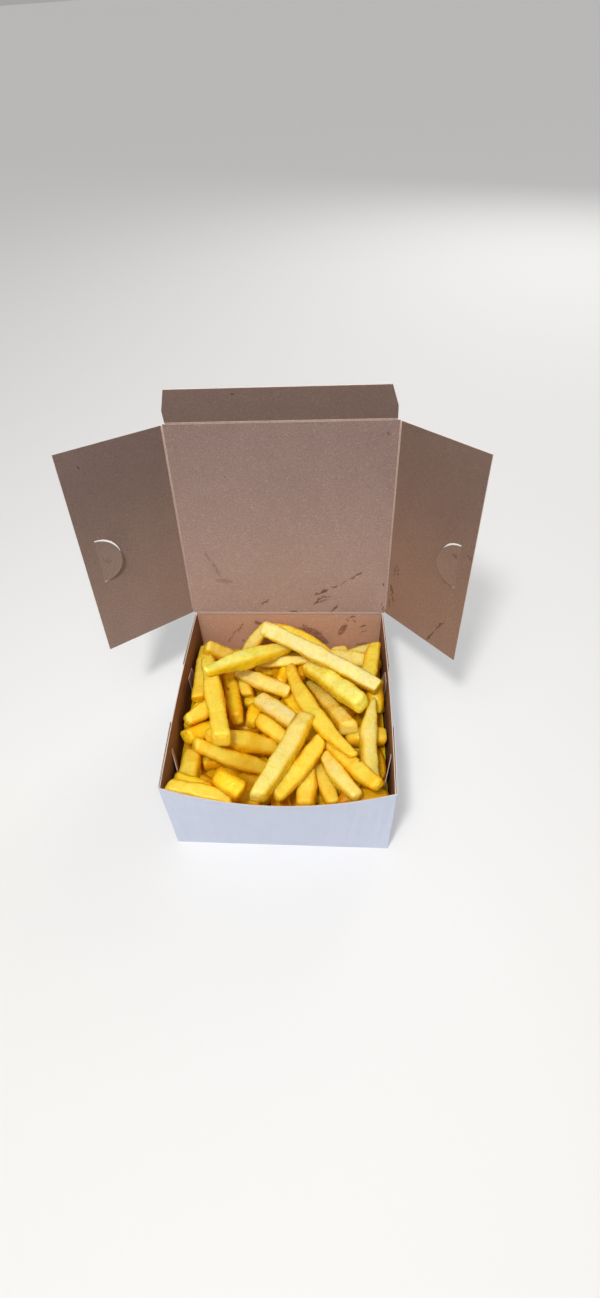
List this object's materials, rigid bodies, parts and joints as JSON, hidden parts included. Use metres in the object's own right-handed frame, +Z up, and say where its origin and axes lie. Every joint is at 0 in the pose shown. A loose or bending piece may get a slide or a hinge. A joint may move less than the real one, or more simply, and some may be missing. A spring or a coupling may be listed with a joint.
{
  "type": "french fries in a carton",
  "caption": "Heap of cut french fries in an open folded takeaway carton, with a hinged lid, two side flaps with lock tabs and a front tuck flap",
  "frame": {"origin": "on the surface that the tray stands on, under the middle of the tray's floor", "axes": "+Z up; the front wall faces -Y and the lid's crease runs along X on the back wall"},
  "size_m": [0.2154, 0.16, 0.2205],
  "materials": {
    "board": "matte kraft inside, white outside",
    "potato": "fried potato, lightly oiled"
  },
  "bodies": {
    "tray": {"tray": "board", "fries": "potato"},
    "lid": {"lid": "board"},
    "left_flap": {"left_flap": "board"},
    "right_flap": {"right_flap": "board"},
    "front_flap": {"front_flap": "board"}
  },
  "joints": [
    {"name": "lid_crease", "type": "hinge", "parent": "tray", "child": "lid", "pos_m": [0, 0.06825, 0.0655], "axis": [1, 0, 0], "range_deg": [-84, 75]},
    {"name": "left_flap_crease", "type": "hinge", "parent": "lid", "child": "left_flap", "pos_m": [-0.0657, 0.06825, 0.0655], "axis": [0, 0.1045, 0.9945], "range_deg": [-44, 41]},
    {"name": "right_flap_crease", "type": "hinge", "parent": "lid", "child": "right_flap", "pos_m": [0.0657, 0.06825, 0.0655], "axis": [0, -0.1045, -0.9945], "range_deg": [-54, 31]},
    {"name": "front_flap_crease", "type": "hinge", "parent": "lid", "child": "front_flap", "pos_m": [0, 0.0821, 0.19727], "axis": [1, 0, 0], "range_deg": [-28, 62]}
  ]
}
